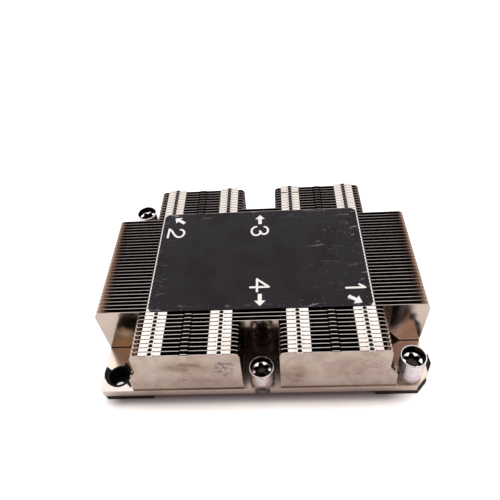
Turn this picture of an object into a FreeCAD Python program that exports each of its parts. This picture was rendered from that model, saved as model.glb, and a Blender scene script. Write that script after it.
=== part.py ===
"""Passive heatsink for a server processor: a plated base, a stack of folded fins,
a label, a processor carrier clip and four captive screws in ferrules.

Millimetres. +Z up, X along the long side, Y along the fin stack, front at -Y.
The origin is the middle of the plane that the heatsink stands on.
"""
import FreeCAD
import Part
import math
import os

V = FreeCAD.Vector

# ---------------------------------------------------------------- driving sizes
# base plate
BASE_LENGTH = 108.0          # along X
BASE_MARGIN = 0.35           # base edge past the fin stack, front and back
BASE_THICK = 3.0
BASE_UNDERSIDE = 2.3         # height of the underside above the standing plane
BASE_CORNER_CUT_X = 4.0      # bevel beside each corner screw
BASE_CORNER_CUT_Y = 4.1
BASE_CORNER_BREAK = 0.8      # the two corners beside the guide holes
PAD_LENGTH = 62.0            # raised contact pad under the base
PAD_WIDTH = 48.0
PAD_DROP = 1.7               # how far the pad stands below the base underside
PAD_BEVEL = 2.0

# fins
FIN_PITCH = 1.5
FIN_THICK = 0.2
FIN_HEIGHT = 20.2            # from the base top to the top of the folded tabs
SPLIT_FIN_COUNT = 8          # rows cut away round a middle screw, at each end
WAIST_FIN_COUNT = 3          # narrow rows behind them that cross the middle
WIDE_FIN_COUNT = 30          # full-length rows between the two ends
WING_OVERHANG = 0.9          # how far a wide fin's upper end leans past the base end
WING_CORNER_DROP = 2.6       # height over which its top corner rounds off
WING_CORNER_RUN = 1.9
WINDOW_RUN = 4.6             # triangular window at the foot of each wide fin
WAIST_STEP_IN = 2.8          # narrow fins are shorter in their upper part
WAIST_STEP_LOW = 6.2         # between these heights above the base
WAIST_STEP_HIGH = 11.0
FIN_CORNER = 1.6             # rounded top corners of narrow fins
FIN_CORNER_FLAT_COUNT = 2         # flats that make up a rounded fin corner
FIN_SCREW_GAP = 1.05         # fin foot to the head of a corner screw
BAY_SCREW_GAP = 2.05         # fin edge to the head of a middle screw
FOLD_GAP = 0.07              # between a folded edge and the next fin

# folded tabs along the fin tops
TAB_WIDTH = 7.1
TAB_INNER_MARGIN = 2.6       # plain fin between the screw bay and the inner tab
TAB_OUTER_MARGIN = 2.9       # plain fin between the outer tab and the fin end
LOCK_WIDTH = 1.5             # half-round lock hole that starts at the fold
LOCK_DEPTH = 1.15            # from the fin's front face
LOCK_FLAT_COUNT = 3               # flats that make up its round side

# label on the tabs
LABEL_THICK = 0.15
LABEL_CORNER = 2.0           # its rounded corners
LABEL_LAP = 1.25             # label past the last wide fin
LABEL_INSET = 0.45           # its ends inside the outer tabs

# captive screws
SCREW_END_INSET = 6.0        # corner screws in from the base end
SCREW_EDGE_INSET = 4.35      # corner screws in from the base's long edge
SCREW_BAY_INSET = 3.95       # middle screws in from the base's long edge
SCREW_HEAD_R = 4.05
SCREW_CUP_R = 3.6            # cup that guides the driver in
SCREW_CUP_DEPTH = 1.9        # drive face below the head's rim
SCREW_SHANK_R = 2.25
SCREW_SHANK_END = 0.15       # lower end above the standing plane
SCREW_THREAD_R = 1.65        # wall of the threaded hole up the middle
SCREW_THREAD_LENGTH = 4.8
SCREW_CORNER_HEAD = 10.4     # rim above the base, corner screws
SCREW_MIDDLE_HEAD = 6.7      # rim above the base, middle screws
SCREW_LIFT = 1.35            # how far the back-left screw stands up
DRIVE_POINT_R = 2.65         # six-pointed drive socket
DRIVE_WAIST_R = 1.75
DRIVE_DEPTH = 2.0
DRIVE_TURNS = {"1": 28.0, "2": 10.0, "3": 51.0, "4": 39.0}
BOSS_R = 4.7                 # rounded ear of the base under each middle screw
BOSS_STEP = 0.6              # its underside above the base underside

# ferrules that guide the screws through the base
FERRULE_R = 3.85
FERRULE_FIT = 0.02           # ferrule to base hole
FERRULE_RUN = 0.05           # shank to ferrule bore
FERRULE_CORNER_RISE = 2.9    # upper end above the base, corner screws
FERRULE_MIDDLE_RISE = 0.8    # upper end above the base, middle screws

# snap rings that keep the screws in
RING_R = 3.05
RING_THICK = 0.4
RING_TRAVEL = 1.5            # how far a screw can rise before its ring meets the ferrule
RING_PLAY = 0.03             # ring to shank
RING_MOUTH_DEG = 70.0        # open side of the ring
RING_FLAT_COUNT = 10

# guide-pin corners
GUIDE_END_INSET = 5.5        # guide holes in from the base end
GUIDE_EDGE_INSET = 5.5       # guide holes in from the base's long edge
GUIDE_HOLE_R = 4.0           # hole in the base
GUIDE_SLEEVE_GAP = 0.1
GUIDE_BORE_R = 3.3           # bore in the plastic sleeve
GUIDE_SLEEVE_PROUD = 0.2     # sleeve above the base top
HOOK_HEIGHT = 0.7            # spring hooks of the sleeve that lie on the base
HOOK_ROOT = 0.5              # how far each hook runs into the sleeve wall
HOOK_FLAT_COUNT = 4          # flats along a hook's outer side
HOOKS = (                    # start angle, tip angle and reach past the sleeve
    (232.0, 146.0, 2.1),
    (18.0, 74.0, 1.1),
    (-8.0, -42.0, 2.0),
)

# processor carrier clip
CLIP_INSET = 0.05            # clip edge inside the base edge
CLIP_CORNER_CUT = 1.4        # its corners under the guide holes
CLIP_BEVEL_PROUD = 0.4       # clip past the base bevel beside each corner screw
CLIP_WINDOW_GAP = 0.8        # window past the contact pad
CLIP_CORNER_LENGTH = 17.0    # length of the corner feet along X
CLIP_RAIL_INSET = 4.6        # front and back rails inside the base edge
CLIP_SCREW_GAP = 0.7         # clip cut-outs past the snap rings
LATCH_LENGTH = 7.0           # side latch ear beside each corner screw
LATCH_FROM_SCREW = 4.4       # its tip, inboard of the screw axis
LATCH_REACH = 2.4            # past the base end at the tip
LATCH_SHOULDER = 2.1         # past the base end at its inboard end
LATCH_GAP = 0.3
LATCH_HEIGHT = 3.6
LATCH_ROOT = 1.0             # how far the ear's arm runs under the base

# ---------------------------------------------------------------- derived sizes
BASE_TOP = BASE_UNDERSIDE + BASE_THICK
FIN_TOP = BASE_TOP + FIN_HEIGHT
FIN_ROW_COUNT = 2 * (SPLIT_FIN_COUNT + WAIST_FIN_COUNT) + WIDE_FIN_COUNT
FIRST_WIDE = SPLIT_FIN_COUNT + WAIST_FIN_COUNT
FIRST_BACK_WAIST = FIRST_WIDE + WIDE_FIN_COUNT
STACK_HALF = FIN_ROW_COUNT * FIN_PITCH / 2.0
BASE_HALF_X = BASE_LENGTH / 2.0
BASE_HALF_Y = STACK_HALF + BASE_MARGIN
SCREW_CORNER_X = BASE_HALF_X - SCREW_END_INSET
SCREW_CORNER_Y = BASE_HALF_Y - SCREW_EDGE_INSET
SCREW_MIDDLE_Y = BASE_HALF_Y - SCREW_BAY_INSET
GUIDE_X = BASE_HALF_X - GUIDE_END_INSET
GUIDE_Y = BASE_HALF_Y - GUIDE_EDGE_INSET
BAY_HALF = SCREW_HEAD_R + BAY_SCREW_GAP
FOOT_HALF = SCREW_CORNER_X - SCREW_HEAD_R - FIN_SCREW_GAP
WAIST_HALF = FOOT_HALF - WAIST_STEP_IN
TAB_INNER_X = BAY_HALF + TAB_INNER_MARGIN + TAB_WIDTH / 2.0
TAB_OUTER_X = WAIST_HALF - TAB_OUTER_MARGIN - TAB_WIDTH / 2.0


def prism(points, direction):
    """Extrude the closed polygon through the points along a direction."""
    corners = [V(*point) for point in points]
    wire = Part.makePolygon(corners + [corners[0]])
    return Part.Face(wire).extrude(V(*direction))


def cylinder(radius, low, high, x=0.0, y=0.0):
    """Upright cylinder between two heights."""
    return Part.makeCylinder(radius, high - low, V(x, y, low))


def block(x_low, x_high, y_low, y_high, z_low, z_high):
    """Box between three pairs of limits."""
    corner = V(x_low, y_low, z_low)
    return Part.makeBox(x_high - x_low, y_high - y_low, z_high - z_low, corner)


def turned(shape, degrees=180.0):
    """Copy turned about the Z axis through the origin."""
    copy = shape.copy()
    copy.rotate(V(0, 0, 0), V(0, 0, 1), degrees)
    return copy


def mirrored_x(shape):
    """Copy mirrored across the plane X = 0."""
    return shape.mirror(V(0, 0, 0), V(1, 0, 0))


def octagon(across_half, low, high, x, y):
    """Upright octagonal prism round an axis, by half its width across flats."""
    radius = across_half / math.cos(math.pi / 8)
    points = []
    for step in range(8):
        angle = math.pi / 8 + math.pi / 4 * step
        points.append((x + radius * math.cos(angle), y + radius * math.sin(angle), low))
    return prism(points, (0, 0, high - low))


def upright_edges(shape):
    """Straight edges of a block that stand along Z."""
    return [edge for edge in shape.Edges if abs(edge.tangentAt(edge.FirstParameter).z) > 0.9]


# ---------------------------------------------------------------- fins
def row_front(row):
    """Front face of a fin row, counted from the front."""
    return -STACK_HALF + row * FIN_PITCH


def rounded_top(outer, run, drop, side=1):
    """Flats round a top corner: from the fin's upright edge up to its top edge."""
    points = []
    for step in range(FIN_CORNER_FLAT_COUNT + 1):
        angle = math.pi / 2 * step / FIN_CORNER_FLAT_COUNT
        x = outer - side * run * (1 - math.cos(angle))
        points.append((x, FIN_TOP - drop * (1 - math.sin(angle))))
    return points


def sheet(outline):
    """Fin blank: a closed outline in X and Z given the thickness of the sheet."""
    return prism([(x, 0, z) for x, z in outline], (0, FIN_THICK, 0))


def both_sides(half_outline):
    """Outline completed by its mirror image across X = 0."""
    return half_outline + [(-x, z) for x, z in reversed(half_outline)]


def narrow_outline():
    """Outer end of a narrow fin, from its foot to the top."""
    return [
        (FOOT_HALF, BASE_TOP),
        (FOOT_HALF, BASE_TOP + WAIST_STEP_LOW),
        (WAIST_HALF, BASE_TOP + WAIST_STEP_HIGH),
    ] + rounded_top(WAIST_HALF, FIN_CORNER, FIN_CORNER)


def wide_outline():
    """Outer end of a wide fin, with a triangular window at the foot."""
    window_end = FOOT_HALF + WINDOW_RUN
    return [
        (FOOT_HALF, BASE_TOP),
        (FOOT_HALF, BASE_TOP + WAIST_STEP_LOW),
        (window_end, BASE_TOP),
        (BASE_HALF_X, BASE_TOP),
    ] + rounded_top(BASE_HALF_X + WING_OVERHANG, WING_CORNER_RUN, WING_CORNER_DROP)


def folded_tab(centre_x, locked):
    """Tab folded back from the fin top to the next fin, with a lock hole at the fold."""
    low = FIN_TOP - FIN_THICK
    half = TAB_WIDTH / 2
    tab = block(centre_x - half, centre_x + half, 0, FIN_PITCH - FOLD_GAP, low, FIN_TOP)
    if not locked:
        return tab
    hole = []
    for step in range(LOCK_FLAT_COUNT + 1):
        angle = math.pi * step / LOCK_FLAT_COUNT
        x = centre_x + LOCK_WIDTH / 2 * math.cos(angle)
        hole.append((x, LOCK_DEPTH * math.sin(angle), low))
    return tab.cut(prism(hole, (0, 0, FIN_THICK)))


def folded_foot(x_low, x_high):
    """Foot of the fin, folded back flat onto the base."""
    return block(x_low, x_high, 0, FIN_PITCH - FOLD_GAP, BASE_TOP, BASE_TOP + FIN_THICK)


def wide_fin():
    """Full-length fin at the origin row; the label hides its tabs, so they have no holes."""
    tabs = [folded_tab(side * x, False) for side in (-1, 1) for x in (TAB_INNER_X, TAB_OUTER_X)]
    foot = folded_foot(-FOOT_HALF, FOOT_HALF)
    return sheet(both_sides(wide_outline())).fuse(tabs + [foot]).removeSplitter()


def waist_fin():
    """Narrow fin at the origin row that crosses the middle in one piece."""
    tabs = [folded_tab(side * x, True) for side in (-1, 1) for x in (TAB_INNER_X, TAB_OUTER_X)]
    foot = folded_foot(-FOOT_HALF, FOOT_HALF)
    return sheet(both_sides(narrow_outline())).fuse(tabs + [foot]).removeSplitter()


def split_fin():
    """Half fin at the origin row, on the +X side of the bay round a middle screw."""
    inner = list(reversed(rounded_top(BAY_HALF, FIN_CORNER, FIN_CORNER, side=-1)))
    blank = sheet(narrow_outline() + inner + [(BAY_HALF, BASE_TOP)])
    tabs = [folded_tab(TAB_INNER_X, True), folded_tab(TAB_OUTER_X, True)]
    return blank.fuse(tabs + [folded_foot(BAY_HALF, FOOT_HALF)]).removeSplitter()


def at_row(fin, row):
    """Copy of a fin moved to its row."""
    copy = fin.copy()
    copy.translate(V(0, row_front(row), 0))
    return copy


def fin_nodes():
    """Every fin of the stack: wide and waist fins one by one, split fins in four packs."""
    nodes = {}
    wide = wide_fin()
    waist = waist_fin()
    right = split_fin()
    left = mirrored_x(right)
    for count in range(WIDE_FIN_COUNT):
        nodes["wide_fin_%02d" % (count + 1)] = at_row(wide, FIRST_WIDE + count)
    for count in range(WAIST_FIN_COUNT):
        nodes["waist_fin_front_%d" % (count + 1)] = at_row(waist, SPLIT_FIN_COUNT + count)
        nodes["waist_fin_back_%d" % (count + 1)] = at_row(waist, FIRST_BACK_WAIST + count)
    front_rows = range(SPLIT_FIN_COUNT)
    back_rows = range(FIN_ROW_COUNT - SPLIT_FIN_COUNT, FIN_ROW_COUNT)
    packs = {
        "fin_pack_front_left": (left, front_rows),
        "fin_pack_front_right": (right, front_rows),
        "fin_pack_back_left": (left, back_rows),
        "fin_pack_back_right": (right, back_rows),
    }
    for name, (fin, rows) in packs.items():
        nodes[name] = Part.makeCompound([at_row(fin, row) for row in rows])
    return nodes


# ---------------------------------------------------------------- base
def base_outline(inset, square_cut, proud, z_low, z_high):
    """Base plan drawn in by an inset, its bevels beside the corner screws standing proud."""
    half_x = BASE_HALF_X - inset
    half_y = BASE_HALF_Y - inset
    shift = proud * math.hypot(BASE_CORNER_CUT_X, BASE_CORNER_CUT_Y)
    bevel_x = BASE_CORNER_CUT_X - shift / BASE_CORNER_CUT_Y
    bevel_y = BASE_CORNER_CUT_Y - shift / BASE_CORNER_CUT_X
    half = [
        (half_x, -half_y + bevel_y, z_low),
        (half_x, half_y - square_cut, z_low),
        (half_x - square_cut, half_y, z_low),
        (-half_x + bevel_x, half_y, z_low),
    ]
    other = [(-x, -y, z) for x, y, z in half]
    return prism(half + other, (0, 0, z_high - z_low))


def screw_places():
    """Each captive screw: name, axis x and y, lip and ferrule heights above the base, lift."""
    corner = (SCREW_CORNER_HEAD, FERRULE_CORNER_RISE)
    middle = (SCREW_MIDDLE_HEAD, FERRULE_MIDDLE_RISE)
    return [
        ("1", SCREW_CORNER_X, -SCREW_CORNER_Y) + corner + (0.0,),
        ("2", -SCREW_CORNER_X, SCREW_CORNER_Y) + corner + (SCREW_LIFT,),
        ("3", 0.0, SCREW_MIDDLE_Y) + middle + (0.0,),
        ("4", 0.0, -SCREW_MIDDLE_Y) + middle + (0.0,),
    ]


def base_plate():
    """Plated base with its contact pad, screw ears, ferrule holes and guide-pin holes."""
    plate = base_outline(0.0, BASE_CORNER_BREAK, 0.0, BASE_UNDERSIDE, BASE_TOP)
    pad_low = BASE_UNDERSIDE - PAD_DROP
    half_pad = PAD_WIDTH / 2
    pad = block(-PAD_LENGTH / 2, PAD_LENGTH / 2, -half_pad, half_pad, pad_low, BASE_UNDERSIDE)
    pad = pad.makeChamfer(PAD_BEVEL, upright_edges(pad))
    ears = [cylinder(BOSS_R, BASE_UNDERSIDE + BOSS_STEP, BASE_TOP, 0, side * SCREW_MIDDLE_Y)
            for side in (-1, 1)]
    plate = plate.fuse([pad] + ears).removeSplitter()
    hole_r = FERRULE_R + FERRULE_FIT
    holes = [cylinder(hole_r, 0, FIN_TOP, place[1], place[2]) for place in screw_places()]
    holes.append(cylinder(GUIDE_HOLE_R, 0, FIN_TOP, -GUIDE_X, -GUIDE_Y))
    holes.append(cylinder(GUIDE_HOLE_R, 0, FIN_TOP, GUIDE_X, GUIDE_Y))
    return plate.cut(holes)


# ---------------------------------------------------------------- label
def label():
    """Thin label lying on the folded tabs of the wide fins."""
    half_x = TAB_OUTER_X + TAB_WIDTH / 2 - LABEL_INSET
    front = row_front(FIRST_WIDE)
    back = row_front(FIRST_BACK_WAIST) + LABEL_LAP
    film = block(-half_x, half_x, front, back, FIN_TOP, FIN_TOP + LABEL_THICK)
    return film.makeFillet(LABEL_CORNER, upright_edges(film))


# ---------------------------------------------------------------- captive screws
def revolved(profile):
    """Solid turned about the Z axis from radius and height pairs."""
    corners = [V(radius, 0, height) for radius, height in profile]
    face = Part.Face(Part.makePolygon(corners + [corners[0]]))
    return face.revolve(V(0, 0, 0), V(0, 0, 1), 360)


def drive_socket(top, turn):
    """Six-pointed socket cut down from a face."""
    points = []
    for count in range(12):
        radius = DRIVE_WAIST_R if count % 2 else DRIVE_POINT_R
        angle = math.radians(30 * count + turn)
        points.append((radius * math.cos(angle), radius * math.sin(angle), top - DRIVE_DEPTH))
    return prism(points, (0, 0, DRIVE_DEPTH))


def ferrule(rise):
    """Turned guide tube pressed through the base, its upper end carrying the screw head."""
    top = BASE_TOP + rise
    bore = SCREW_SHANK_R + FERRULE_RUN
    return revolved([
        (bore, BASE_UNDERSIDE), (FERRULE_R, BASE_UNDERSIDE), (FERRULE_R, top), (bore, top),
    ])


def captive_screw(head, rise, turn):
    """Turned screw about the Z axis: cupped head on the ferrule, drive socket, hollow shank."""
    top = BASE_TOP + head
    seat = BASE_TOP + rise
    face_height = top - SCREW_CUP_DEPTH
    body = revolved([
        (0, SCREW_SHANK_END), (SCREW_SHANK_R, SCREW_SHANK_END),
        (SCREW_SHANK_R, seat), (SCREW_HEAD_R, seat),
        (SCREW_HEAD_R, top), (SCREW_CUP_R, top),
        (SCREW_CUP_R, face_height), (0, face_height),
    ])
    thread = cylinder(SCREW_THREAD_R, 0, SCREW_SHANK_END + SCREW_THREAD_LENGTH)
    return body.cut([drive_socket(face_height, turn), thread])


def snap_ring():
    """Open spring ring on the shank, about the Z axis, that keeps the screw in."""
    high = BASE_UNDERSIDE - RING_TRAVEL
    inner = SCREW_SHANK_R + RING_PLAY
    flat_factor = 1 / math.cos(math.radians(360 - RING_MOUTH_DEG) / RING_FLAT_COUNT / 2)
    outside = []
    inside = []
    for step in range(RING_FLAT_COUNT + 1):
        sweep = RING_MOUTH_DEG / 2 + (360 - RING_MOUTH_DEG) * step / RING_FLAT_COUNT
        across = math.cos(math.radians(sweep))
        along = math.sin(math.radians(sweep))
        outside.append((RING_R * across, RING_R * along, high))
        inside.append((inner * flat_factor * across, inner * flat_factor * along, high))
    return prism(outside + inside[::-1], (0, 0, -RING_THICK))


def placed(shape, x, y, lift):
    """Copy put on its screw axis at a lift."""
    copy = shape.copy()
    copy.translate(V(x, y, lift))
    return copy


def screw_nodes():
    """The four captive screws, each with its snap ring, and their ferrules."""
    nodes = {}
    ring = snap_ring()
    ferrules = {"corner_ferrules": [], "middle_ferrules": []}
    for name, x, y, head, rise, lift in screw_places():
        screw = captive_screw(head, rise, DRIVE_TURNS[name])
        nodes["captive_screw_" + name] = placed(screw, x, y, lift)
        nodes["snap_ring_" + name] = placed(ring, x, y, lift)
        group = "middle_ferrules" if x == 0 else "corner_ferrules"
        ferrules[group].append(placed(ferrule(rise), x, y, 0.0))
    for group, solids in ferrules.items():
        nodes[group] = Part.makeCompound(solids)
    return nodes


# ---------------------------------------------------------------- carrier clip
def sleeve_hook(radius, start, tip, reach):
    """Spring hook whose outer side swings out from the sleeve wall to a tip."""
    inner = []
    outer = []
    for step in range(HOOK_FLAT_COUNT + 1):
        share = step / HOOK_FLAT_COUNT
        angle = math.radians(start + (tip - start) * share)
        along = (math.cos(angle), math.sin(angle))
        outer.append((radius + reach * share, along))
        inner.append((radius - HOOK_ROOT, along))
    points = []
    for distance, along in outer + inner[::-1]:
        points.append((distance * along[0] - GUIDE_X, distance * along[1] - GUIDE_Y, BASE_TOP))
    return prism(points, (0, 0, HOOK_HEIGHT))


def guide_sleeve():
    """Sleeve of the clip in the front-left guide hole, with spring hooks over the base."""
    radius = GUIDE_HOLE_R - GUIDE_SLEEVE_GAP
    sleeve = cylinder(radius, 0, BASE_TOP + GUIDE_SLEEVE_PROUD, -GUIDE_X, -GUIDE_Y)
    return sleeve.fuse([sleeve_hook(radius, *hook) for hook in HOOKS])


def guide_bore():
    """Bore of the front-left sleeve."""
    return cylinder(GUIDE_BORE_R, 0, FIN_TOP, -GUIDE_X, -GUIDE_Y)


def side_latch():
    """Ear of the clip that rises past the right end of the base beside screw 1."""
    inner = BASE_HALF_X + LATCH_GAP
    half = LATCH_LENGTH / 2
    ear = prism([(inner, -half, 0), (BASE_HALF_X + LATCH_REACH, 0, 0),
                 (BASE_HALF_X + LATCH_SHOULDER, half, 0), (inner, half, 0)],
                (0, 0, LATCH_HEIGHT))
    arm_start = BASE_HALF_X - CLIP_INSET - LATCH_ROOT
    arm = block(arm_start, inner + LATCH_GAP, -half / 2, half / 2, 0, BASE_UNDERSIDE)
    latch = ear.fuse(arm)
    latch.translate(V(0, -SCREW_CORNER_Y + LATCH_FROM_SCREW, 0))
    return latch


def carrier_clip():
    """Moulded frame under the base that carries the processor."""
    top = BASE_UNDERSIDE
    frame = base_outline(CLIP_INSET, CLIP_CORNER_CUT, CLIP_BEVEL_PROUD, 0, top)
    foot_x = BASE_HALF_X - CLIP_CORNER_LENGTH
    rail_y = BASE_HALF_Y - CLIP_RAIL_INSET
    recess = block(-foot_x, foot_x, rail_y, BASE_HALF_Y, 0, top)
    window_x = PAD_LENGTH / 2 + CLIP_WINDOW_GAP
    window_y = PAD_WIDTH / 2 + CLIP_WINDOW_GAP
    window = block(-window_x, window_x, -window_y, window_y, 0, top)
    cuts = [recess, turned(recess), window]
    for place in screw_places():
        cuts.append(octagon(RING_R + CLIP_SCREW_GAP, 0, top, place[1], place[2]))
    frame = frame.cut(cuts)
    sleeve = guide_sleeve()
    latch = side_latch()
    frame = frame.fuse([sleeve, turned(sleeve), latch, turned(latch)])
    bore = guide_bore()
    return frame.cut([bore, turned(bore)]).removeSplitter()


# ---------------------------------------------------------------- export
def build():
    """All nodes of the heatsink by name."""
    nodes = {"base_plate": base_plate(), "label": label(), "carrier_clip": carrier_clip()}
    nodes.update(fin_nodes())
    nodes.update(screw_nodes())
    return nodes


os.makedirs("parts", exist_ok=True)
for node, shape in build().items():
    shape.exportStep("parts/%s.step" % node)
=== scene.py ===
"""Looks of a passive server heatsink: its finishes, turned screws, pressed beads and label print.

Lengths are in metres, and MM turns millimetres into metres. X runs along the fins, the front lies
at low Y, and the fin rows are counted from the front. Colours are linear.
"""
import math

import bpy
import numpy as np
from mathutils import Matrix, Vector


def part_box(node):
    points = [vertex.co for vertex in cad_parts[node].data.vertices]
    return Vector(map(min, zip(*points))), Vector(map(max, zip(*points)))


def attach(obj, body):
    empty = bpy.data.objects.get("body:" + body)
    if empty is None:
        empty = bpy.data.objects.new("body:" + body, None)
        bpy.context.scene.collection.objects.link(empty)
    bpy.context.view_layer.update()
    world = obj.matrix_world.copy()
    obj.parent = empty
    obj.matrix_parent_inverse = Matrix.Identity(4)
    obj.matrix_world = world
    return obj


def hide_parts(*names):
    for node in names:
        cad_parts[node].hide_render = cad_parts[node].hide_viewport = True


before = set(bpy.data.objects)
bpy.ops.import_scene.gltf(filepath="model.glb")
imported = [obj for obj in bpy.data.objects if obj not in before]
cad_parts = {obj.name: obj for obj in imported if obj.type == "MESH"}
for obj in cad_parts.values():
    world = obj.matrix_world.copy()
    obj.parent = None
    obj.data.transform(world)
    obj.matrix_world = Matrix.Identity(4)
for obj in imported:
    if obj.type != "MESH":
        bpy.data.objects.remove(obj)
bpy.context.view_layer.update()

MM = 0.001

# ---------------------------------------------------------------- sizes shared with the CAD
FIRST_ROW = -39.0 * MM                  # front face of the foremost fin
FIN_PITCH = 1.5 * MM
FIN_THICK = 0.2 * MM
FIN_TOP = 25.5 * MM
ROW_COUNT = 52
OPEN_ROW_COUNT = 11                     # rows at the front and at the back that show their locks
FRONT_FACE = -38.9 * MM                 # only the foremost fins' faces lie before this
TAB_BANDS = ((8.7 * MM, 15.8 * MM), (30.1 * MM, 37.2 * MM))     # both sides of the middle
LOCK_MIDDLES = (12.25 * MM, 33.65 * MM)
BEAD_BAND = (21.5 * MM, 24.6 * MM)
LABEL_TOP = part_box("label")[1].z
LABEL_MIDDLE_Y = 0.6 * MM

# ---------------------------------------------------------------- where the fins' finish and its painted shade change
BEND_R = 0.26 * MM                      # rounding of the tabs' edges
BEND_REACH = (0.30 * MM, 0.18 * MM)     # back from the fin's front face
BEND_FROM_LOCK = (1.0 * MM, 1.1 * MM)
LOCK_HALF_WIDTH = 0.70 * MM
LOCK_MIDDLE_BACK = 0.68 * MM
LOCK_HALF_RUN = 0.62 * MM
PIT_FROM_LOCK = 1.2 * MM
PIT_HALF_WIDTH = 0.26 * MM
PIT_MIDDLE_BACK = 0.16 * MM
PIT_HALF_RUN = 0.22 * MM
# Painted shade marks where the one bend stands a little open.
OPEN_BEND = (34.3 * MM, 34.95 * MM)     # the one bend that stands a little open
OPEN_BEND_FROM_LOCK = (0.9 * MM, 1.0 * MM)
BAY_SIDES = (8.6 * MM, 7.6 * MM)        # shaded fin faces at the back of the driver bays
BAY_BACKS = (26.5 * MM, 27.3 * MM)
BAY_TOPS = (22.5 * MM, 20.5 * MM)
WING_SIDES = (42.6 * MM, 43.0 * MM)     # free ends of the foremost wide fin
WING_FACE = (-22.3 * MM, -22.4 * MM)
# Heights of the painted shade at the wide fin's foot and of the painted highlight over it.
WING_FOOT_SHADE = (5.95 * MM, 5.60 * MM)
WING_FOOT_HIGHLIGHT = (6.0 * MM, 6.5 * MM, 0.1 * MM)

# Soft spots: place and radii in millimetres, softness of the rim, strength.
FRONT_STAINS = (((-23.5, -39, 18.8), (12, 3, 5.2), 0.85, 1.0),
                ((10.0, -39, 12.5), (7, 3, 9), 0.85, 1.0),
                ((29.0, -39, 17.0), (12, 3, 9), 0.95, 0.6),
                ((-17.0, -39, 10.0), (16, 3, 5), 0.95, 0.6))
SPECK_PATCH = (((-11.2, -39, 17.8), (4.2, 3, 5.4), 0.45, 1.0),)
SCUFF = (((-24.7, -39, 11.1), (1.6, 3, 0.7), 0.8, 0.7),)
# Painted amber reflection and pale highlight on the left free end, dark reflections on the right.
WING_AMBER_REFLECTION = (((-48.0, -22.5, 7.6), (5.5, 3, 4.2), 0.85, 0.8),)
WING_PALE_HIGHLIGHT = (((-46.5, -22.5, 13.5), (3.4, 3, 3.6), 0.9, 1.0),)
WING_DARK_REFLECTIONS = (((42.0, -22.5, 23.0), (9.0, 3, 13), 0.4, 0.95),
              ((50.0, -22.5, 19.0), (1.9, 3, 3.4), 0.8, 0.85))
# Painted shade and a painted pool of light on the floor under the guide bore.
BORE_SHADE = (((-48.8, -33.0, 0), (5.2, 4.4, 9), 0.15, 1.0),)
BORE_LIGHT = (((-49.3, -34.5, 0), (1.8, 1.7, 9), 0.3, 0.75),)

# ---------------------------------------------------------------- colours
WHITE = (1.0, 1.0, 1.0)
NICKEL, NICKEL_CLOUD, NICKEL_SMUDGE = (0.64, 0.55, 0.49), (0.56, 0.46, 0.40), (0.42, 0.33, 0.27)
STAIN_BROWN, MOTTLE_BROWN = (0.25, 0.155, 0.115), (0.36, 0.25, 0.21)
GRAIN_PLUM, SPECK_GREY, SCUFF_GREY = (0.14, 0.10, 0.11), (0.17, 0.145, 0.16), (0.20, 0.17, 0.18)
BAY_SHADE, SEAM_SHADE, DARK_REFLECTION = (0.03, 0.022, 0.02), (0.03, 0.015, 0.01), (0.05, 0.04, 0.04)
AMBER_REFLECTION, PALE_HIGHLIGHT_CREAM, FOOT_HIGHLIGHT_CREAM = (0.95, 0.62, 0.28), (0.78, 0.66, 0.48), (0.95, 0.86, 0.76)
TAB_FRONT, TAB_BACK_SHADE, TAB_CLOUD = (0.60, 0.565, 0.54), (0.50, 0.455, 0.425), (0.50, 0.45, 0.41)
BEND_SHADE_FRONT, BEND_SHADE_BACK, GAP_SHADE = (0.30, 0.15, 0.13), (0.40, 0.33, 0.27), (0.02, 0.015, 0.015)
EDGE_FRONT, EDGE_BACK_SHADE, EDGE_END_SHADE = (0.50, 0.45, 0.42), (0.26, 0.23, 0.225), (0.09, 0.065, 0.06)
PIT_SHADE, LOCK_SHADE = (0.05, 0.03, 0.03), (0.004, 0.003, 0.003)
BEAD_LIGHT, BEAD_DARK, BEAD_BACK_SHADE = (0.60, 0.54, 0.47), (0.50, 0.45, 0.39), (0.17, 0.15, 0.14)
LIP_FRONT, LIP_BACK_SHADE, LIP_SHADE = (0.58, 0.55, 0.52), (0.50, 0.46, 0.41), (0.19, 0.17, 0.16)
BASE_LIGHT, BASE_STAIN = (0.69, 0.60, 0.56), (0.58, 0.47, 0.42)
BASE_GOLDEN, EAR_SHADE = (0.78, 0.64, 0.44), (0.14, 0.12, 0.12)
FERRULE_LIGHT, FERRULE_MARK = (0.66, 0.62, 0.66), (0.50, 0.46, 0.48)
FERRULE_HIGHLIGHT, FERRULE_SEAM_SHADE = (0.95, 0.93, 0.95), (0.03, 0.025, 0.028)
FILM_BLACK, FILM_WEAR, INK_WEAR = (0.0135, 0.0105, 0.0145), (0.27, 0.26, 0.31), (0.6, 0.6, 0.6)
PLASTIC_BLACK, PLASTIC_DUST = (0.016, 0.011, 0.013), (0.05, 0.045, 0.048)
SLEEVE_BLACK = (0.0015, 0.0012, 0.0014)
STUDIO_PALE, STUDIO_DARK = (1.25, 1.25, 1.25), (0.010, 0.007, 0.006)
STUDIO_LEFT, STUDIO_RIGHT = (0.46, 0.33, 0.24), (0.72, 0.51, 0.46)
PAPER, PAPER_SHADOW, PAPER_BORE_SHADE = (0.9, 0.9, 0.9), (0.40, 0.38, 0.44), (0.02, 0.02, 0.02)


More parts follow.
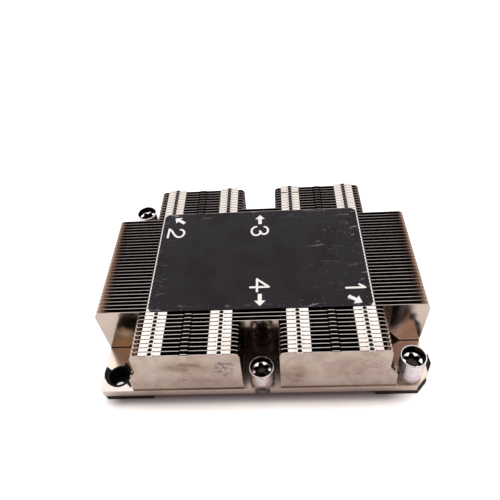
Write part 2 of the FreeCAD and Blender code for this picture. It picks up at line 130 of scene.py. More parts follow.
# ---------------------------------------------------------------- finishes
class Value:
    """A shader socket that can be added, multiplied and compared in an expression."""

    def __init__(self, finish, socket):
        self.finish = finish
        self.socket = socket

    def _math(self, operation, first, second=0.0):
        return self.finish.node("ShaderNodeMath", {"operation": operation}, {0: first, 1: second})

    def __add__(self, other):
        return self._math("ADD", self, other)

    __radd__ = __add__

    def __sub__(self, other):
        return self._math("SUBTRACT", self, other)

    def __rsub__(self, other):
        return self._math("SUBTRACT", other, self)

    def __mul__(self, other):
        return self._math("MULTIPLY", self, other)

    def size(self):
        """Distance from zero."""
        return self._math("ABSOLUTE", self)

    def least(self, other):
        """The lesser of two values."""
        return self._math("MINIMUM", self, other)

    def fraction(self):
        """What is left over the whole number below."""
        return self._math("FRACT", self)

    def ramp(self, low, high):
        """Smooth step from 0 at low to 1 at high; low may be the larger."""
        limits = (low, high, 0.0, 1.0) if low <= high else (high, low, 1.0, 0.0)
        return self.finish.node("ShaderNodeMapRange", {"interpolation_type": "SMOOTHSTEP"},
                                {0: self, **dict(enumerate(limits, 1))})

    def band(self, low, high, soft=0.05 * MM):
        """1 where the value lies between two limits."""
        return self.ramp(low - soft, low + soft) * self.ramp(high + soft, high - soft)


class Finish:
    """One material with a Principled surface, built up by expressions."""

    def __init__(self, name, **constants):
        self.material = bpy.data.materials.new(name)
        self.material.use_nodes = True
        self.tree = self.material.node_tree
        self.surface = self.tree.nodes["Principled BSDF"]
        for socket, value in constants.items():
            self.surface.inputs[socket.replace("_", " ")].default_value = value
        self.place = self.node("ShaderNodeTexCoord", {}, {}, "Object")

    def node(self, kind, settings, inputs, output=0):
        """A node of a kind: its settings first, then the values or links of its sockets."""
        made = self.tree.nodes.new(kind)
        for name, value in settings.items():
            setattr(made, name, value)
        for name, value in inputs.items():
            if isinstance(value, Value):
                self.tree.links.new(value.socket, made.inputs[name])
            else:
                made.inputs[name].default_value = value
        return Value(self, made.outputs[output])

    def feed(self, socket, value):
        """Link a value that changes over the surface to a socket of the surface."""
        self.tree.links.new(value.socket, self.surface.inputs[socket])

    def rays(self, kind):
        """1 for rays of a kind and 0 for all others."""
        return self.node("ShaderNodeLightPath", {}, {}, kind)

    def axis(self, index):
        """One coordinate of the place, in metres."""
        return self.node("ShaderNodeSeparateXYZ", {}, {0: self.place}, index)

    def upward(self):
        """1 on faces that look up and 0 on upright ones."""
        normal = self.node("ShaderNodeTexCoord", {}, {}, "Normal")
        return self.node("ShaderNodeSeparateXYZ", {}, {0: normal}, 2).ramp(0.80, 0.95)

    def noise(self, scale, stretch=(1, 1, 1), detail=3.0, offset=(0, 0, 0), distortion=0.0):
        """Soft noise from 0 to 1 with so many cells a metre, stretched along the axes."""
        mapped = self.node("ShaderNodeMapping", {},
                           {"Vector": self.place, "Scale": stretch, "Location": offset})
        return self.node("ShaderNodeTexNoise", {}, {"Vector": mapped, "Scale": scale,
                                                    "Detail": detail, "Distortion": distortion})

    def vector(self, operation, first, second, output=0):
        """Vector arithmetic with a constant, which LENGTH ignores."""
        return self.node("ShaderNodeVectorMath", {"operation": operation},
                         {0: first, 1: second}, output)

    def spots(self, table):
        """Sum of soft ellipsoids, each of its own strength in the middle and 0 outside."""
        total = 0.0
        for place, radii, soft, strength in table:
            shift = self.vector("SUBTRACT", self.place, [v * MM for v in place])
            scaled = self.vector("DIVIDE", shift, [v * MM for v in radii])
            distance = self.vector("LENGTH", scaled, (0, 0, 0), "Value")
            total = distance.ramp(1.0, 1.0 - soft) * strength + total
        return total

    def mix(self, factor, first, second):
        """Colour that goes from the first to the second with a factor."""
        colours = [c if isinstance(c, Value) else c + (1.0,) for c in (first, second)]
        return self.node("ShaderNodeMix", {"data_type": "RGBA"},
                         {0: factor, 6: colours[0], 7: colours[1]}, 2)

    def rounded(self, radius, share):
        """Normal that turns smoothly over the edges within a radius, where the share is 1."""
        turned = self.node("ShaderNodeBevel", {"samples": 6}, {"Radius": radius})
        flat = self.node("ShaderNodeNewGeometry", {}, {}, "Normal")
        return self.node("ShaderNodeMix", {"data_type": "VECTOR"},
                         {0: share, 4: flat, 5: turned}, 1)

    def bump(self, height, distance, base=None):
        """Small relief whose height of 1 stands out by a distance in metres, on a base normal."""
        inputs = {"Height": height, "Distance": distance, "Strength": 1.0}
        if base:
            inputs["Normal"] = base
        self.feed("Normal", self.node("ShaderNodeBump", {}, inputs))


def lock_distance(side):
    """Distance along X from the nearest row of locks."""
    inner, outer = [(side - middle).size() for middle in LOCK_MIDDLES]
    return inner.least(outer)


def tab_patterns(finish, side):
    """Shares of the fins' upper faces: folded tabs, and the painted shade in their bends, in the
    locks and in the small pits where a bend ends beside a lock. The locks grow a little towards
    the back."""
    tabs = side.band(*TAB_BANDS[0]) + side.band(*TAB_BANDS[1])
    from_lock = lock_distance(side)
    depth = finish.axis(1)
    back = ((depth - FIRST_ROW) * (1.0 / FIN_PITCH)).fraction() * FIN_PITCH
    bend = back.ramp(*BEND_REACH) * from_lock.ramp(*BEND_FROM_LOCK)
    at_back = depth.ramp(0, 20 * MM)
    across = from_lock * (1.0 / LOCK_HALF_WIDTH) * (1.0 - at_back * 0.12)
    along = (back - LOCK_MIDDLE_BACK) * (1.0 / LOCK_HALF_RUN)
    lock = (across * across + along * along * (1.0 - at_back * 0.3)).ramp(1.1, 0.95)
    across = (from_lock - PIT_FROM_LOCK) * (1.0 / PIT_HALF_WIDTH)
    along = (back - PIT_MIDDLE_BACK) * (1.0 / PIT_HALF_RUN)
    pits = (across * across + along * along).ramp(1.1, 0.5)
    return tabs, tabs * bend, tabs * lock, tabs * pits


def stained_front(finish, plate, front):
    """Brown stains, mottling and dark grains on the foremost faces, thicker at the right end
    and in one patch of specks, and a scuff."""
    mottle = finish.noise(150, stretch=(1.2, 1, 1), detail=7, distortion=1.0).ramp(0.40, 0.66)
    wisps = finish.noise(230, stretch=(0.8, 1, 1.2), detail=6, distortion=0.8).ramp(0.38, 0.62)
    grains = finish.noise(650, detail=4, offset=(5, 2, 1)).ramp(0.60, 0.68)
    specks = finish.noise(620, detail=5, offset=(1, 8, 3)).ramp(0.47, 0.58)
    patch = finish.spots(SPECK_PATCH)
    crowd = 0.14 + patch * 0.5 + finish.axis(0).ramp(22 * MM, 34 * MM) * 0.2
    stain = finish.spots(FRONT_STAINS) * (0.45 + wisps * 0.5)
    plate = finish.mix(front * stain, plate, STAIN_BROWN)
    plate = finish.mix(front * mottle * 0.4, plate, MOTTLE_BROWN)
    plate = finish.mix(front * grains * crowd, plate, GRAIN_PLUM)
    plate = finish.mix(front * patch * (wisps * 0.3 + specks * 0.65), plate, SPECK_GREY)
    return finish.mix(front * finish.spots(SCUFF), plate, SCUFF_GREY)


def painted_wing_light(finish, plate, wing, pale_highlight):
    """Painted light on the free ends of the foremost wide fin: a painted amber reflection and a
    painted pale highlight on the left one, painted dark reflections on the right one, and at the
    foot of both a painted shade along the seam with a painted highlight over it."""
    height = finish.axis(2)
    plate = finish.mix(wing * finish.spots(WING_AMBER_REFLECTION), plate, AMBER_REFLECTION)
    plate = finish.mix(pale_highlight, plate, PALE_HIGHLIGHT_CREAM)
    plate = finish.mix(wing * finish.spots(WING_DARK_REFLECTIONS), plate, DARK_REFLECTION)
    # Painted shade at the foot of the free ends, and a painted highlight just over it.
    plate = finish.mix(wing * height.ramp(*WING_FOOT_SHADE), plate, SEAM_SHADE)
    return finish.mix(wing * height.band(*WING_FOOT_HIGHLIGHT) * 0.5, plate, FOOT_HIGHLIGHT_CREAM)


def finished_tops(finish, plate, clouds, side, up, patterns):
    """Upper faces: bright tabs, in painted shade towards the back, with painted shade in their
    bends, in one bend that stands open, in the pits and in the locks; and between the tabs the
    sheared edges, in painted shade at the back, at the free ends and at the beads."""
    tabs, bend, lock, pits = patterns
    depth = finish.axis(1)
    at_back = depth.ramp(18 * MM, 26 * MM)
    # Painted shade: the tabs' metal darkens towards the back.
    tab_metal = finish.mix(at_back, TAB_FRONT, TAB_BACK_SHADE)
    tab_metal = finish.mix(clouds * 0.2, tab_metal, TAB_CLOUD)
    open_bend = finish.axis(0).band(*TAB_BANDS[0]) * depth.band(*OPEN_BEND)
    open_bend = open_bend * (side - LOCK_MIDDLES[0]).size().ramp(*OPEN_BEND_FROM_LOCK)
    # Painted shade on the sheared edges: darker towards the back, at the free ends and at the
    # beads.
    edge = finish.mix(depth.ramp(-38 * MM, 12 * MM), EDGE_FRONT, EDGE_BACK_SHADE)
    edge = finish.mix(side.ramp(48 * MM, 53 * MM) * 0.8, edge, EDGE_END_SHADE)
    edge = finish.mix(side.band(*BEAD_BAND), edge, GAP_SHADE)
    plate = finish.mix(up * tabs, plate, tab_metal)
    # Painted shade in the bends between the tab rows, paler at the back.
    plate = finish.mix(up * bend, plate, finish.mix(at_back, BEND_SHADE_FRONT, BEND_SHADE_BACK))
    # Painted shade in the one bend that stands open.
    plate = finish.mix(up * open_bend, plate, GAP_SHADE)
    plate = finish.mix(up * (1.0 - tabs), plate, edge)
    plate = finish.mix(up * pits * 0.85, plate, PIT_SHADE)
    # Painted shade in the lock holes.
    return finish.mix(up * lock, plate, LOCK_SHADE)


def fin_nickel():
    """Nickel plating on rolled sheet: warm grey with faint rolling streaks along X and small
    smudges, satin and stained on the front faces, bright on the folded tabs and dull on the
    sheared upper edges."""
    finish = Finish("fin_nickel")
    side, depth = finish.axis(0).size(), finish.axis(1)
    up = finish.upward()
    patterns = tab_patterns(finish, side)
    tabs, lock = patterns[0], patterns[2]
    front = depth.ramp(FRONT_FACE, FRONT_FACE - 0.05 * MM)
    bay = side.ramp(*BAY_SIDES) * depth.size().band(*BAY_BACKS) * finish.axis(2).ramp(*BAY_TOPS)
    wing = side.ramp(*WING_SIDES) * depth.ramp(*WING_FACE)
    pale_highlight = wing * finish.spots(WING_PALE_HIGHLIGHT)
    streaks = finish.noise(900, stretch=(0.05, 0.4, 1), detail=4)
    clouds = finish.noise(110, detail=3)
    smudges = finish.noise(160, detail=5, offset=(3.1, 0.7, 1.9)).ramp(0.56, 0.72)
    plate = finish.mix(clouds, NICKEL, NICKEL_CLOUD)
    plate = finish.mix(smudges * 0.35, plate, NICKEL_SMUDGE)
    plate = stained_front(finish, plate, front)
    plate = finish.mix(bay * 0.8, plate, BAY_SHADE)
    plate = painted_wing_light(finish, plate, wing, pale_highlight)
    finish.feed("Base Color", finished_tops(finish, plate, clouds, side, up, patterns))
    # The painted pale highlight is also less metallic.
    finish.feed("Metallic", 1.0 - pale_highlight * 0.85)
    satin = 0.09 + streaks * 0.06 + smudges * 0.08 + front * 0.2
    finish.feed("Roughness", satin + up * (1.0 - tabs) * 0.25 + up * lock * 0.5)
    finish.bump(clouds * 0.7 + streaks * 0.05, 0.12 * MM, base=finish.rounded(BEND_R, tabs))
    return finish.material


def bead_nickel():
    """The same sheet where it is pressed out, without the dull shear, in painted shade towards
    the back.
    """
    finish = Finish("bead_nickel", Metallic=1.0, Roughness=0.3)
    metal = finish.mix(finish.noise(300, detail=3), BEAD_LIGHT, BEAD_DARK)
    at_back = finish.axis(1).ramp(-38 * MM, 12 * MM)
    finish.feed("Base Color", finish.mix(at_back, metal, BEAD_BACK_SHADE))
    return finish.material


def lip_nickel():
    """Bright plating of the lock lips, in painted shade at the back, deepest over the locks there.
    """
    finish = Finish("lip_nickel", Metallic=1.0, Roughness=0.15)
    at_back = finish.axis(1).ramp(20 * MM, 24 * MM)
    over_lock = lock_distance(finish.axis(0).size()).ramp(0.72 * MM, 0.60 * MM)
    metal = finish.mix(at_back, LIP_FRONT, LIP_BACK_SHADE)
    finish.feed("Base Color", finish.mix(at_back * over_lock, metal, LIP_SHADE))
    return finish.material


def base_nickel():
    """Bright nickel over a ground copper plate: hazy mirror with golden stains, and painted shade
    round the middle ears."""
    finish = Finish("base_nickel", Metallic=1.0)
    stains = finish.noise(70, detail=5).ramp(0.45, 0.7)
    grain = finish.noise(1500, stretch=(0.03, 1, 1), detail=2)
    golden = finish.noise(95, detail=4, offset=(2, 7, 1)).ramp(0.42, 0.66)
    side, depth = finish.axis(0).size(), finish.axis(1).size()
    ears = depth.ramp(39.36 * MM, 39.45 * MM) * side.ramp(5.8 * MM, 5.4 * MM)
    plate = finish.mix(stains, BASE_LIGHT, BASE_STAIN)
    plate = finish.mix(golden * 0.5, plate, BASE_GOLDEN)
    finish.feed("Base Color", finish.mix(ears, plate, EAR_SHADE))
    finish.feed("Roughness", 0.17 + stains * 0.12 + grain * 0.05)
    finish.bump(finish.noise(60, detail=2), 0.1 * MM)
    return finish.material


def ferrule_steel():
    """Satin steel of the swaged ferrules, with painted shade in the seam under each screw head and
    a painted highlight line on both sides of it. The seam lies higher at the corners, and highest
    at the back."""
    finish = Finish("ferrule_steel", Metallic=0.75, Roughness=0.34)
    corner = finish.axis(0).size().ramp(20 * MM, 30 * MM)
    lifted = finish.axis(1).ramp(-10 * MM, 10 * MM)
    seam = (6.0 + corner * (2.1 + lifted * 1.35)) * MM
    off_seam = (finish.axis(2) - seam).size()
    marks = finish.noise(420, detail=5).ramp(0.5, 0.7)
    metal = finish.mix(marks, FERRULE_LIGHT, FERRULE_MARK)
    metal = finish.mix(off_seam.band(0.15 * MM, 0.40 * MM) * 0.4, metal, FERRULE_HIGHLIGHT)
    finish.feed("Base Color", finish.mix(off_seam.ramp(0.17 * MM, 0.11 * MM), metal, FERRULE_SEAM_SHADE))
    finish.bump(marks, 0.01 * MM)
    return finish.material


def label_black():
    """Black printed film, scuffed and dusty towards its edges and its right end."""
    finish = Finish("label_black", Specular_IOR_Level=0.14)
    patches = finish.noise(90, detail=4).ramp(0.45, 0.62)
    scratches = finish.noise(500, stretch=(0.35, 1.6, 1), detail=5, distortion=0.8).ramp(0.60, 0.70)
    specks = finish.noise(1300, detail=5, offset=(4, 4, 4)).ramp(0.63, 0.72)
    sideways, depth = finish.axis(0), finish.axis(1)
    rim = sideways.size().ramp(30.0 * MM, 36.5 * MM) + sideways.ramp(14 * MM, 26 * MM) * 0.5
    rim = rim + (depth - LABEL_MIDDLE_Y).size().ramp(18.0 * MM, 23.0 * MM)
    wear = scratches * rim * (0.35 + patches * 0.65) + specks * (0.04 + rim * 0.35)
    finish.feed("Base Color", finish.mix(wear, FILM_BLACK, FILM_WEAR))
    finish.feed("Roughness", 0.5 + patches * 0.15)
    finish.bump(finish.noise(1200, detail=2), 0.01 * MM)
    return finish.material


def print_white():
    """White ink of the numerals and arrows."""
    finish = Finish("print_white", Roughness=0.6)
    wear = finish.noise(1400, detail=4).ramp(0.68, 0.76)
    finish.feed("Base Color", finish.mix(wear * 0.3, WHITE, INK_WEAR))
    return finish.material


def clip_black():
    """Black glass-filled plastic with a fine grain, dusty below and darker on the sleeves."""
    finish = Finish("clip_black", Specular_IOR_Level=0.18)
    grain = finish.noise(1800, detail=3)
    dust = finish.noise(240, detail=5).ramp(0.6, 0.75)
    sleeves = finish.axis(2).ramp(4.6 * MM, 5.4 * MM)
    lower = finish.mix(dust * 0.3, PLASTIC_BLACK, PLASTIC_DUST)
    finish.feed("Base Color", finish.mix(sleeves, lower, SLEEVE_BLACK))
    finish.feed("Roughness", 0.42 + grain * 0.2)
    finish.bump(grain, 0.02 * MM)
    return finish.material


def turned_steel(name, light, dark, roughness):
    """Nickel-plated turned steel with fine rings from the lathe."""
    finish = Finish(name, Metallic=1.0)
    rings = finish.noise(3500, stretch=(0.02, 0.02, 1), detail=2)
    marks = finish.noise(420, detail=5).ramp(0.5, 0.7)
    finish.feed("Base Color", finish.mix(marks, light, dark))
    finish.feed("Roughness", roughness + rings * 0.08 + marks * 0.1)
    finish.bump(rings, 0.01 * MM)
    return finish.material


FIN_METAL = fin_nickel()
BEAD_METAL = bead_nickel()
LIP_METAL = lip_nickel()
FERRULE_METAL = ferrule_steel()
PRINT_INK = print_white()
SCREW_METAL = turned_steel("screw_steel", (0.80, 0.75, 0.78), (0.58, 0.52, 0.54), 0.22)
# Painted shade: near-black steel for the screws' cups and sockets and the end tongues.
DRIVE_SHADE_METAL = turned_steel("drive_shade_steel", (0.035, 0.027, 0.026), (0.02, 0.015, 0.014), 0.12)
# Painted highlight: white steel for the screws' drive faces.
FACE_HIGHLIGHT_METAL = turned_steel("face_highlight_steel", WHITE, (0.97, 0.95, 0.92), 0.1)
RING_METAL = turned_steel("ring_steel", (0.60, 0.58, 0.56), (0.40, 0.38, 0.36), 0.28)

# Finishes by the start of a CAD node's name; all other nodes are fins.
NODE_FINISHES = {
    "base_plate": base_nickel(), "label": label_black(), "carrier_clip": clip_black(),
    "corner_ferrules": FERRULE_METAL, "middle_ferrules": FERRULE_METAL,
    "captive_screw": SCREW_METAL, "snap_ring": RING_METAL,
}
for name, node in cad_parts.items():
    found = [material for start, material in NODE_FINISHES.items() if name.startswith(start)]
    node.data.materials.clear()
    node.data.materials.append(found[0] if found else FIN_METAL)


# ---------------------------------------------------------------- pieces
def piece(name, vertices, faces, materials, body, sharp):
    """Mesh piece in place, carried by a body of the frame; edges over an angle in degrees stay
    sharp, and with no angle every face is flat."""
    mesh = bpy.data.meshes.new(name)
    mesh.from_pydata(np.asarray(vertices, float).tolist(), [], faces)
    for material in materials:
        mesh.materials.append(material)
    if sharp:
        mesh.shade_smooth()
        mesh.set_sharp_from_angle(angle=math.radians(sharp))
    made = bpy.data.objects.new(name, mesh)
    bpy.context.scene.collection.objects.link(made)
    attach(made, body)
    return made


def grid_faces(rows, columns, closed, first=0):
    """Quads between neighbouring rows of a grid whose columns may close into a ring."""
    row, column = np.meshgrid(np.arange(rows - 1), np.arange(columns if closed else columns - 1),
                              indexing="ij")
    after = (column + 1) % columns
    corners = [row * columns + column, row * columns + after,
               (row + 1) * columns + after, (row + 1) * columns + column]
    return (np.stack(corners, -1).reshape(-1, 4) + first).tolist()


# ---------------------------------------------------------------- label print
INK_LEVEL = LABEL_TOP + 0.02 * MM
INK_STEP = 0.01 * MM                    # each mark of a sign lies this much over the one before
STROKE_HALF = 0.39                      # from here on in millimetres
ROUND_END_POINTS, ARC_POINTS, LINE_POINTS = 7, 24, 8
ARROW_LENGTH, ARROW_HEAD = 4.95, 2.2
ARROW_SHAFT_HALF, ARROW_HEAD_HALF = 0.66, 1.85


def arc(centre, radii, start, end):
    """Part of an ellipse between two angles in degrees."""
    angle = np.radians(np.linspace(start, end, ARC_POINTS))
    return np.stack([centre[0] + radii[0] * np.cos(angle), centre[1] + radii[1] * np.sin(angle)], 1)


def line(start, end):
    """Straight run of evenly spaced points."""
    share = np.linspace(0, 1, LINE_POINTS)[:, None]
    return (1 - share) * np.asarray(start, float) + share * np.asarray(end, float)


def stroke(path):
    """Round-ended ribbon as a grid of two columns: the path with a run of half a width added at
    each end, where the half width falls as a quarter circle, offset to both sides."""
    run = np.sin(np.linspace(0, math.pi / 2, ROUND_END_POINTS))[1:, None] * STROKE_HALF
    head = path[0] - path[1]
    tail = path[-1] - path[-2]
    head /= np.linalg.norm(head)
    tail /= np.linalg.norm(tail)
    centre = np.concatenate([path[0] + run[::-1] * head, path, path[-1] + run * tail])
    narrow = np.sqrt(np.maximum(STROKE_HALF ** 2 - run ** 2, 0.0))
    wide = np.concatenate([narrow[::-1], np.full((len(path), 1), STROKE_HALF), narrow])
    along = np.gradient(centre, axis=0)
    along /= np.linalg.norm(along, axis=1)[:, None]
    across = np.stack([-along[:, 1], along[:, 0]], 1)
    return np.stack([centre - across * wide, centre + across * wide], 1)


def arrow():
    """Block arrow along the second axis from its tail: two grids, the shaft and the head."""
    neck = ARROW_LENGTH - ARROW_HEAD
    shaft = [[(-ARROW_SHAFT_HALF, 0), (ARROW_SHAFT_HALF, 0)],
             [(-ARROW_SHAFT_HALF, neck), (ARROW_SHAFT_HALF, neck)]]
    head = [[(-ARROW_HEAD_HALF, neck), (ARROW_HEAD_HALF, neck)],
            [(0.0, ARROW_LENGTH), (0.0, ARROW_LENGTH)]]
    return [np.array(shaft, float), np.array(head, float)]


def numeral_one():
    """Plain stem with a short flag."""
    return [stroke(line((0, 0), (0, 6.15))), stroke(line((0, 6.15), (-1.3, 4.5)))]


def numeral_two():
    """Bowl that runs into a curved diagonal, and a foot."""
    bowl = arc((2.42, 4.12), (2.0, 1.78), 172, -12)
    fall = np.array([(4.15, 3.25), (3.55, 2.6), (2.75, 2.05), (1.9, 1.6), (1.05, 1.05),
                     (0.45, 0.5), (0.0, 0.0)])
    return [stroke(np.concatenate([bowl, fall])), stroke(line((0, 0), (4.4, -0.12)))]


def numeral_three():
    """Two open bowls that meet in the middle."""
    return [stroke(arc((2.1, 4.62), (1.95, 1.5), 172, -80)),
            stroke(arc((2.3, 1.72), (2.25, 1.72), 78, -180))]


def numeral_four():
    """Stem, crossbar and the slope from the stem's head to the bar."""
    return [stroke(line((3.5, 0), (3.5, 6.2))), stroke(line((0, 2.25), (5.3, 2.25))),
            stroke(line((0.15, 2.3), (3.4, 6.1)))]


def printed(name, marks, place, turn):
    """Marks in ink on the label: turned by an angle about the first axis and moved to a place."""
    angle = math.radians(turn)
    spin = np.array([[math.cos(angle), math.sin(angle)], [-math.sin(angle), math.cos(angle)]])
    vertices = []
    faces = []
    for number, mark in enumerate(marks):
        flat = mark.reshape(-1, 2) @ spin + np.asarray(place, float)
        level = np.full(len(flat), INK_LEVEL + number * INK_STEP)
        faces += [face[::-1] for face in grid_faces(len(mark), 2, False, sum(map(len, vertices)))]
        vertices.append(np.column_stack([flat * MM, level]))
    piece(name, np.concatenate(vertices), faces, [PRINT_INK], "heatsink", sharp=30.0)


for sign in (("numeral_1", numeral_one(), (28.82, -15.08), -90),
             ("numeral_2", numeral_two(), (-34.3, 15.8), -90),
             ("numeral_3", numeral_three(), (-2.88, 15.4), -90),
             ("numeral_4", numeral_four(), (-3.0, -10.15), -90),
             ("arrow_1", arrow(), (29.13, -18.5), -123),
             ("arrow_2", arrow(), (-28.75, 18.7), 53),
             ("arrow_3", arrow(), (0.26, 16.75), 0),
             ("arrow_4", arrow(), (0.2, -16.55), 180)):
    printed(*sign)


# ---------------------------------------------------------------- pressed beads and locks
BEAD_MIDDLE = 23.05 * MM
BEAD_HALF = 1.3 * MM
BEAD_DROP = 2.4 * MM
BEAD_DEPTH = 0.27 * MM
BEAD_SUNK = 0.01 * MM                   # upper edge below the fin's
LIP_HALF = 1.0 * MM
LIP_BEFORE, LIP_RUN = 0.02 * MM, 0.19 * MM
LIP_LEVEL = FIN_TOP + 0.03 * MM
TONGUE_HALF = 0.7 * MM
TONGUE_SPAN = (0.10 * MM, 1.25 * MM)
TONGUE_LEVEL = FIN_TOP - 0.06 * MM
LIP_THICK = 0.1 * MM
OPEN_ROWS = np.r_[0:OPEN_ROW_COUNT, ROW_COUNT - OPEN_ROW_COUNT:ROW_COUNT]
BOTH_SIDES = np.array([-1.0, 1.0])
ALL_LOCKS = np.outer(BOTH_SIDES, LOCK_MIDDLES).ravel()


def thin_sheets(name, x, y, z, material, thickness):
    """Sheets over grids of points, whose last two axes run over one sheet; each is as thick as
    a solidify modifier makes it."""
    rows, columns = x.shape[-2:]
    vertices = np.stack([x, y, z], -1).reshape(-1, 3)
    faces = []
    for first in range(0, len(vertices), rows * columns):
        faces += grid_faces(rows, columns, False, first)
    made = piece(name, vertices, faces, [material], "heatsink", sharp=0)
    sheet = made.modifiers.new("sheet", "SOLIDIFY")
    sheet.thickness = thickness
    sheet.offset = -1.0


def pressed_beads():
    """Bead in the upper edge of each fin that no label covers: a sheet patch over u along X and
    v down the fin, set back by depth * (1 - (2u - 1)^6) * (1 - v^2), and as thick as the fin."""
    row, side, v, u = np.meshgrid(OPEN_ROWS, BOTH_SIDES, np.linspace(0, 1, 5),
                                  np.linspace(0, 1, 13), indexing="ij")
    x = side * BEAD_MIDDLE + (2 * u - 1) * BEAD_HALF
    back = BEAD_DEPTH * (1 - (2 * u - 1) ** 6) * (1 - v ** 2)
    y = FIRST_ROW + row * FIN_PITCH + FIN_THICK + back
    z = FIN_TOP - BEAD_SUNK - v * BEAD_DROP
    thin_sheets("pressed_beads", x, y, z, BEAD_METAL, FIN_THICK)


def lock_lips():
    """Lip of the fin in front that hooks into each lock and closes the bend over it: a thin flat
    strip over u along X, from -1 to 1, and v along Y, which runs back by the cosine of a quarter
    turn times u, to the power 0.3."""
    row, middle, v, u = np.meshgrid(OPEN_ROWS, ALL_LOCKS, [0.0, 1.0], np.linspace(-1, 1, 9),
                                    indexing="ij")
    back = LIP_RUN * v * np.cos(u * math.pi / 2) ** 0.3 - LIP_BEFORE
    y = FIRST_ROW + row * FIN_PITCH + back
    thin_sheets("lock_lips", middle + u * LIP_HALF, y, np.full(y.shape, LIP_LEVEL), LIP_METAL,
                LIP_THICK)


def end_lock_shade_tongues():
    """Near-black tongue of painted shade that closes each open lock of the last row: a flat
    plate over u along X and v along Y, 1.4 mm by 1.15 mm, just under the tabs."""
    middle, v, u = np.meshgrid(ALL_LOCKS, TONGUE_SPAN, [-1.0, 0.0, 1.0], indexing="ij")
    y = FIRST_ROW + (ROW_COUNT - 1) * FIN_PITCH + v
    thin_sheets("end_lock_shade_tongues", middle + u * TONGUE_HALF, y, np.full(y.shape, TONGUE_LEVEL),
                DRIVE_SHADE_METAL, LIP_THICK)


pressed_beads()
lock_lips()
end_lock_shade_tongues()

# ---------------------------------------------------------------- captive screws, in millimetres
SHANK_R, SHANK_LOW, SHANK_BREAK = 2.25, 0.15, 0.2
THREAD_R, THREAD_TOP = 1.65, 4.95
HEAD_R, HEAD_EDGE = 4.05, 0.12
GROOVE_R = 3.75
CUP_R, CUP_FOOT_R = 3.66, 3.60
FACE_R, FACE_EDGE, FACE_FALL = 3.12, 0.12, 0.17
MOAT_R, MOAT_DEPTH = 3.17, 0.35         # ring groove round the drive face
LOBE_MEAN_R, LOBE_SWING, LOBE_EDGE = 2.38, 0.45, 0.14
SOCKET_DEPTH, SOCKET_CONE_R, SOCKET_CONE_DEPTH = 1.7, 0.9, 0.3
SCREW_COLUMNS = 96
# The drive band is painted shade and the face band a painted highlight.
PLATED, DRIVE_SHADE, FACE_HIGHLIGHT = 0, 1, 2           # finishes of the screw's bands
MIDDLE_SEAT, CORNER_SEAT, LIFTED_SEAT = 6.1, 8.2, 9.56


def screw_profile(seat, top, groove, cup_depth):
    """Rows of radius, height, lobe share and the finish of the band that starts there: from the
    end of the threaded hole down its wall, up the shank and the grooved head, over the rim,
    down the cup, over the coned drive face and down the socket to its floor."""
    face = top - cup_depth
    floor_level = face - SOCKET_DEPTH
    return np.array([
        (0.0, THREAD_TOP, 0, PLATED),
        (THREAD_R, THREAD_TOP, 0, PLATED),
        (THREAD_R, SHANK_LOW + SHANK_BREAK, 0, PLATED),
        (THREAD_R + SHANK_BREAK, SHANK_LOW, 0, PLATED),
        (SHANK_R - SHANK_BREAK, SHANK_LOW, 0, PLATED),
        (SHANK_R, SHANK_LOW + SHANK_BREAK, 0, PLATED),
        (SHANK_R, seat, 0, PLATED),
        (HEAD_R - HEAD_EDGE, seat, 0, PLATED),
        (HEAD_R, seat + HEAD_EDGE, 0, PLATED),
        (HEAD_R, groove - 0.16, 0, PLATED),
        (GROOVE_R, groove - 0.08, 0, PLATED),
        (GROOVE_R, groove + 0.08, 0, PLATED),
        (HEAD_R, groove + 0.12, 0, PLATED),
        (HEAD_R, top - HEAD_EDGE, 0, PLATED),
        (HEAD_R - HEAD_EDGE, top, 0, PLATED),
        (CUP_R + 0.08, top, 0, PLATED),
        (CUP_R, top - 0.1, 0, DRIVE_SHADE),
        (CUP_FOOT_R, face - MOAT_DEPTH, 0, DRIVE_SHADE),
        (MOAT_R, face - MOAT_DEPTH, 0, DRIVE_SHADE),
        (FACE_R, face - 0.1, 0, FACE_HIGHLIGHT),
        (FACE_R - FACE_EDGE, face, 0, FACE_HIGHLIGHT),
        (LOBE_MEAN_R + LOBE_EDGE, face - FACE_FALL, 1, FACE_HIGHLIGHT),
        (LOBE_MEAN_R, face - FACE_FALL - LOBE_EDGE, 1, DRIVE_SHADE),
        (LOBE_MEAN_R - 0.03, floor_level, 1, DRIVE_SHADE),
        (SOCKET_CONE_R, floor_level, 0.2, DRIVE_SHADE),
        (0.0, floor_level - SOCKET_CONE_DEPTH, 0, DRIVE_SHADE),
    ])


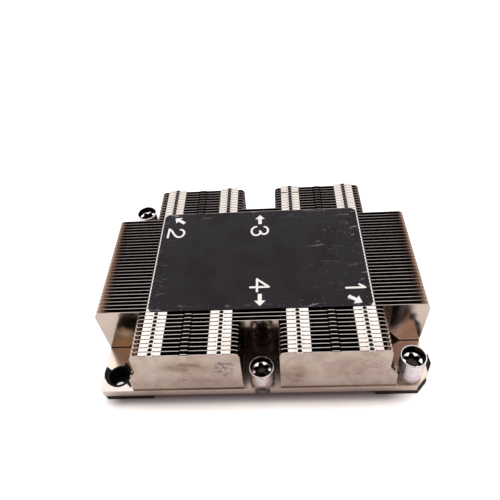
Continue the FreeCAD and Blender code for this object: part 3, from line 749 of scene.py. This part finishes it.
def turned_screw(number, seat, top, groove, cup_depth, turn):
    """Screw turned about its axis: each profile row is swept round, its radius swinging with the
    cosine of six times the angle where the row has a lobe share; both ends close on the axis."""
    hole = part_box("captive_screw_%s" % number)
    x, y = (hole[0].x + hole[1].x) / 2, (hole[0].y + hole[1].y) / 2
    profile = screw_profile(seat, top, groove, cup_depth)
    angle = np.linspace(0, 2 * math.pi, SCREW_COLUMNS, endpoint=False)[None, :]
    swing = LOBE_SWING * np.cos(6 * (angle - math.radians(turn)))
    radius = (profile[:, :1] + profile[:, 2:3] * swing) * MM
    height = np.broadcast_to(profile[:, 1:2] * MM, radius.shape)
    vertices = np.stack([x + radius * np.cos(angle), y + radius * np.sin(angle), height], -1)
    rings = vertices[1:-1].reshape(-1, 3)
    ends = np.stack([vertices[0, 0], vertices[-1, 0]])
    here = np.arange(SCREW_COLUMNS)
    after = (here + 1) % SCREW_COLUMNS
    last = len(rings) - SCREW_COLUMNS
    faces = grid_faces(len(profile) - 2, SCREW_COLUMNS, True)
    faces += np.stack([after, here, np.full(SCREW_COLUMNS, len(rings))], 1).tolist()
    faces += np.stack([last + here, last + after,
                       np.full(SCREW_COLUMNS, len(rings) + 1)], 1).tolist()
    made = piece("turned_screw_%s" % number, np.concatenate([rings, ends]), faces,
                 [SCREW_METAL, DRIVE_SHADE_METAL, FACE_HIGHLIGHT_METAL], "screw_turn_%s" % number,
                 sharp=28.0)
    bands = np.concatenate([profile[1:-2, 3], profile[[0, -2], 3]]).astype(int)
    made.data.polygons.foreach_set("material_index", np.repeat(bands, SCREW_COLUMNS))
    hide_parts("captive_screw_%s" % number)


turned_screw("1", CORNER_SEAT, top=15.7, groove=9.3, cup_depth=2.7, turn=28)
turned_screw("2", LIFTED_SEAT, top=17.05, groove=10.65, cup_depth=2.1, turn=10)
turned_screw("3", MIDDLE_SEAT, top=12.0, groove=6.7, cup_depth=1.95, turn=51)
turned_screw("4", MIDDLE_SEAT, top=12.0, groove=6.7, cup_depth=1.95, turn=39)


# ---------------------------------------------------------------- studio
class Surround(Finish):
    """The room round the object, seen by reflections and as soft light."""

    def __init__(self):
        world = bpy.data.worlds.new("studio")
        bpy.context.scene.world = world
        world.use_nodes = True
        self.tree = world.node_tree
        self.surface = self.tree.nodes["Background"]
        self.place = self.node("ShaderNodeTexCoord", {}, {}, "Generated")


def studio_surround():
    """Pale room behind and at the sides; warm and dim in front, darkest straight ahead."""
    studio = Surround()
    sideways = studio.axis(0)
    off_middle = sideways + 0.04
    aside = (off_middle * off_middle).ramp(0.006, 0.07)
    glow = studio.mix(sideways.ramp(-0.1, 0.1), STUDIO_LEFT, STUDIO_RIGHT)
    dim = studio.mix(aside, STUDIO_DARK, glow)
    light = studio.mix(studio.axis(1).ramp(-0.45, 0.35), dim, STUDIO_PALE)
    studio.feed("Color", studio.mix(studio.rays("Is Camera Ray"), light, WHITE))
    studio.surface.inputs["Strength"].default_value = 1.0


def back_softbox():
    """Large soft lamp behind and above, which faces the object."""
    place, width, height, radiance = Vector((-0.04, 0.55, 0.52)), 0.8, 0.5, 0.6
    data = bpy.data.lights.new("back_softbox", "AREA")
    data.shape = "RECTANGLE"
    data.size, data.size_y = width, height
    data.energy = radiance * math.pi * width * height
    made = bpy.data.objects.new("back_softbox", data)
    made.location = place
    made.rotation_euler = (-place).to_track_quat("-Z", "Y").to_euler()
    made.visible_camera = False
    bpy.context.scene.collection.objects.link(made)


def floor():
    """Pale floor that glows up to white, apart from a painted shadow in front and, under the
    guide bore, a spot of painted shade with a painted pool of light."""
    finish = Finish("floor_paper", Roughness=0.9, Specular_IOR_Level=0.1, Emission_Strength=1.0)
    sideways, depth = finish.axis(0), finish.axis(1)
    in_front = (depth.ramp(0, -30 * MM) * sideways.ramp(53 * MM, 39 * MM)
                * sideways.ramp(-57 * MM, -47 * MM))
    contact = depth.ramp(-42.5 * MM, -40.0 * MM) * in_front
    shadow = depth.ramp(-46.0 * MM, -38.8 * MM) * in_front
    bore = finish.spots(BORE_SHADE)
    paper = finish.mix(contact, PAPER, PAPER_SHADOW)
    finish.feed("Base Color", finish.mix(bore, paper, PAPER_BORE_SHADE))
    seen = finish.rays("Is Camera Ray")
    glow = (seen * 0.75 + finish.rays("Is Glossy Ray") * 0.35
            + finish.rays("Is Transmission Ray") * 0.75)
    glow = glow * (1.0 - shadow) * (1.0 - bore) + seen * finish.spots(BORE_LIGHT)
    finish.feed("Emission Color", glow)
    half = 3.0
    mesh = bpy.data.meshes.new("floor")
    mesh.from_pydata([(-half, -half, 0), (half, -half, 0), (half, half, 0), (-half, half, 0)],
                     [], [(0, 1, 2, 3)])
    mesh.materials.append(finish.material)
    made = bpy.data.objects.new("floor", mesh)
    bpy.context.scene.collection.objects.link(made)


def camera():
    """Camera over the front of the object, given by its place and its three axes."""
    data = bpy.data.cameras.new("camera")
    data.sensor_width = 36.0
    data.lens = 36.94
    data.shift_y = -0.07
    data.clip_start = 5 * MM
    place = Vector((7.740, -123.073, 160.761)) * MM
    right = Vector((0.9975808, 0.0150123, -0.0678766))
    up = Vector((0.0393824, 0.6825636, 0.7297643))
    back = Vector((0.0572856, -0.7306720, 0.6803211))
    made = bpy.data.objects.new("camera", data)
    made.matrix_world = Matrix.Translation(place) @ Matrix((right, up, back)).transposed().to_4x4()
    bpy.context.scene.collection.objects.link(made)
    bpy.context.scene.camera = made


studio_surround()
back_softbox()
floor()
camera()
bpy.context.scene.view_settings.view_transform = "Standard"
